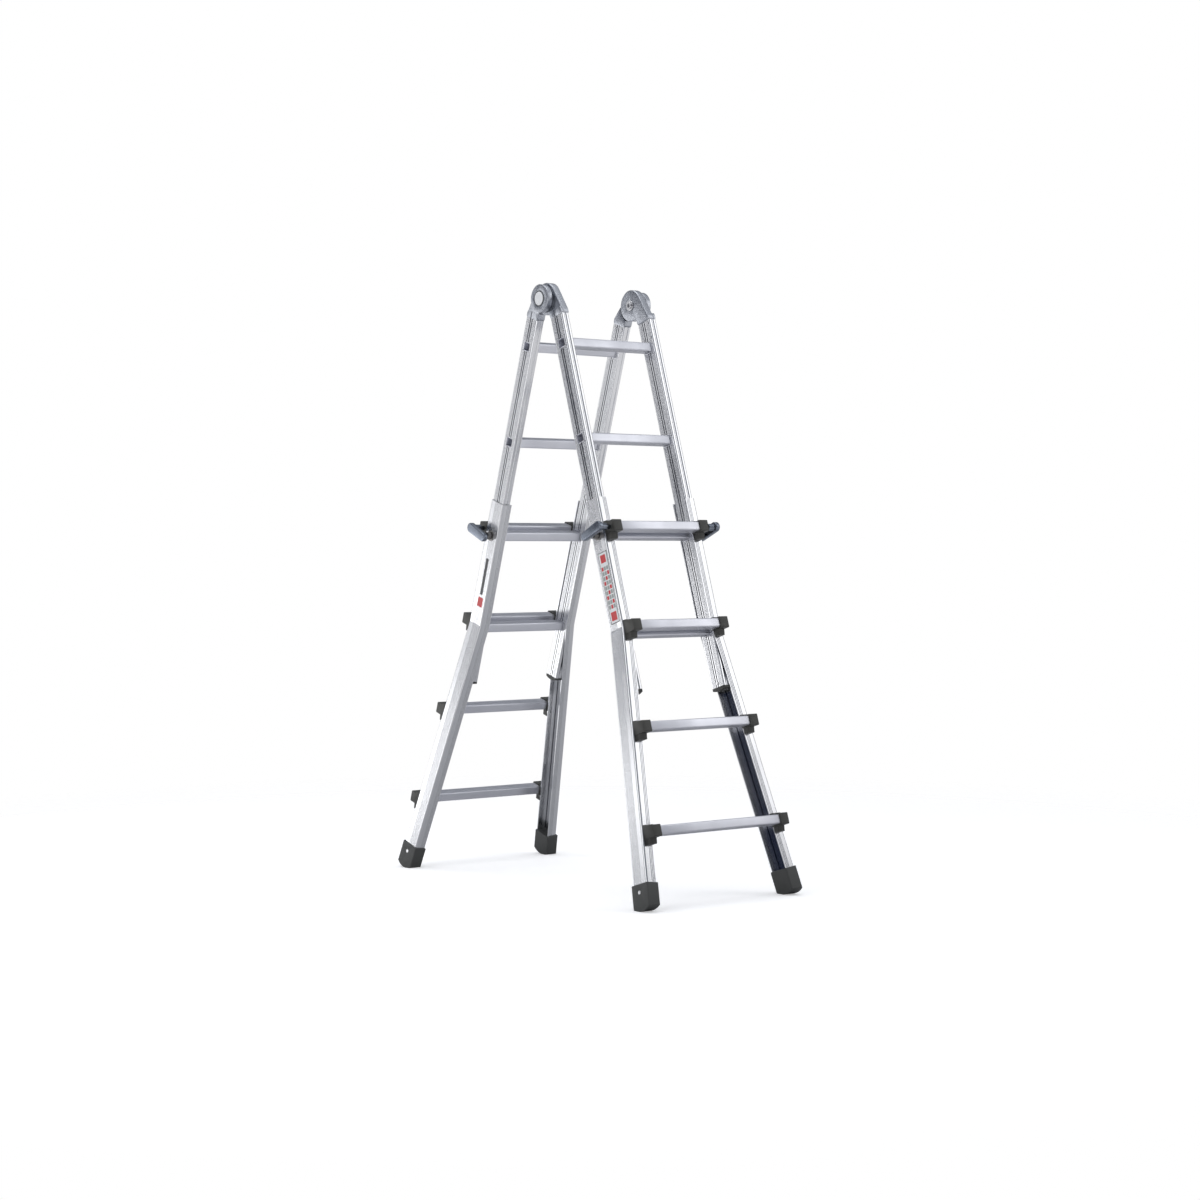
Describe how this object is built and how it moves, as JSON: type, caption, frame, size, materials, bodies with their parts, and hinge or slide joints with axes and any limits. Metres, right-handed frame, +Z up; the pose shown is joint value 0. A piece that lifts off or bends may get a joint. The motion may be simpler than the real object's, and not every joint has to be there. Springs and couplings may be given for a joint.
{
  "type": "multi position ladder",
  "caption": "Telescoping aluminium ladder standing as an A-frame, with locking hinges, flared lower stiles, bracketed rungs and moulded feet.",
  "frame": {"origin": "floor centre, midway between the four feet", "axes": "+X along the rungs, +Y towards the rear leg, +Z up"},
  "size_m": [0.5468, 1.1818, 1.692],
  "materials": {
    "cast_aluminium": "cast and lightly blasted",
    "extruded_aluminium": "satin extruded, fine lengthwise ribs",
    "rung_aluminium": "satin extruded, anodised",
    "bracket_plastic": "moulded olive grey",
    "foot_plastic": "moulded grey",
    "cap_plastic": "moulded dark grey",
    "knob_finish": "moulded grey with a blank white disc",
    "spring_steel": "oiled wire",
    "lock_metal": "dark cast metal, polished by handling",
    "collar_metal": "dark cast metal",
    "fastener_steel": "zinc plated"
  },
  "bodies": {
    "rear_inner_section": {"rear_inner_stile_left": "extruded_aluminium", "rear_inner_stile_right": "extruded_aluminium", "rear_inner_end_cap_left": "cap_plastic", "rear_inner_end_cap_right": "cap_plastic", "rear_inner_rivets": "fastener_steel", "rear_inner_rung_1": "rung_aluminium", "rear_inner_rung_2": "rung_aluminium", "rear_inner_rung_3": "rung_aluminium", "rear_inner_rung_4": "rung_aluminium", "rear_hinge_casting_left": "cast_aluminium", "rear_hinge_casting_right": "cast_aluminium", "hinge_axle_left": "fastener_steel", "hinge_axle_right": "fastener_steel", "hinge_knob_springs": "spring_steel"},
    "front_inner_section": {"front_inner_stile_left": "extruded_aluminium", "front_inner_stile_right": "extruded_aluminium", "front_inner_end_cap_left": "cap_plastic", "front_inner_end_cap_right": "cap_plastic", "front_inner_rivets": "fastener_steel", "front_inner_rung_1": "rung_aluminium", "front_inner_rung_2": "rung_aluminium", "front_inner_rung_3": "rung_aluminium", "front_inner_rung_4": "rung_aluminium", "front_hinge_casting_left": "cast_aluminium", "front_hinge_casting_right": "cast_aluminium"},
    "rear_outer_section": {"rear_outer_stile_left": "extruded_aluminium", "rear_outer_stile_right": "extruded_aluminium", "rear_rung_brackets_left": "bracket_plastic", "rear_rung_brackets_right": "bracket_plastic", "rear_foot_left": "foot_plastic", "rear_foot_right": "foot_plastic", "rear_outer_rivets": "fastener_steel", "rear_lock_collars": "collar_metal", "rear_lock_springs": "spring_steel", "rear_outer_rung_1": "rung_aluminium", "rear_outer_rung_2": "rung_aluminium", "rear_outer_rung_3": "rung_aluminium", "rear_outer_rung_4": "rung_aluminium"},
    "front_outer_section": {"front_outer_stile_left": "extruded_aluminium", "front_outer_stile_right": "extruded_aluminium", "front_rung_brackets_left": "bracket_plastic", "front_rung_brackets_right": "bracket_plastic", "front_foot_left": "foot_plastic", "front_foot_right": "foot_plastic", "front_outer_rivets": "fastener_steel", "front_lock_collars": "collar_metal", "front_lock_springs": "spring_steel", "front_outer_rung_1": "rung_aluminium", "front_outer_rung_2": "rung_aluminium", "front_outer_rung_3": "rung_aluminium", "front_outer_rung_4": "rung_aluminium"},
    "front_lock_left": {"front_lock_handle_left": "lock_metal"},
    "front_lock_right": {"front_lock_handle_right": "lock_metal"},
    "rear_lock_left": {"rear_lock_handle_left": "lock_metal"},
    "rear_lock_right": {"rear_lock_handle_right": "lock_metal"},
    "hinge_lock_left": {"hinge_knob_left": "knob_finish"},
    "hinge_lock_right": {"hinge_knob_right": "knob_finish"}
  },
  "joints": [
    {"name": "hinge_fold", "type": "hinge", "parent": "rear_inner_section", "child": "front_inner_section", "pos_m": [0, 0, 1.64696], "axis": [1, 0, 0], "range_deg": [-144.8, 35.2]},
    {"name": "front_telescope", "type": "slide", "parent": "front_inner_section", "child": "front_outer_section", "axis": [0, -0.3024, -0.9532], "range_m": [-0.56, 0.28]},
    {"name": "rear_telescope", "type": "slide", "parent": "rear_inner_section", "child": "rear_outer_section", "axis": [0, 0.3024, -0.9532], "range_m": [-0.56, 0.28]},
    {"name": "front_lock_left_pull", "type": "slide", "parent": "front_outer_section", "child": "front_lock_left", "axis": [-1, 0, 0], "range_m": [-0.01, 0.012]},
    {"name": "front_lock_right_pull", "type": "slide", "parent": "front_outer_section", "child": "front_lock_right", "axis": [1, 0, 0], "range_m": [-0.01, 0.012]},
    {"name": "rear_lock_left_pull", "type": "slide", "parent": "rear_outer_section", "child": "rear_lock_left", "axis": [-1, 0, 0], "range_m": [-0.01, 0.012]},
    {"name": "rear_lock_right_pull", "type": "slide", "parent": "rear_outer_section", "child": "rear_lock_right", "axis": [1, 0, 0], "range_m": [-0.01, 0.012]},
    {"name": "hinge_lock_left_press", "type": "slide", "parent": "rear_inner_section", "child": "hinge_lock_left", "axis": [1, 0, 0], "range_m": [0, 0.004], "stiffness_N_per_m": 600},
    {"name": "hinge_lock_right_press", "type": "slide", "parent": "rear_inner_section", "child": "hinge_lock_right", "axis": [-1, 0, 0], "range_m": [0, 0.004], "stiffness_N_per_m": 600}
  ]
}
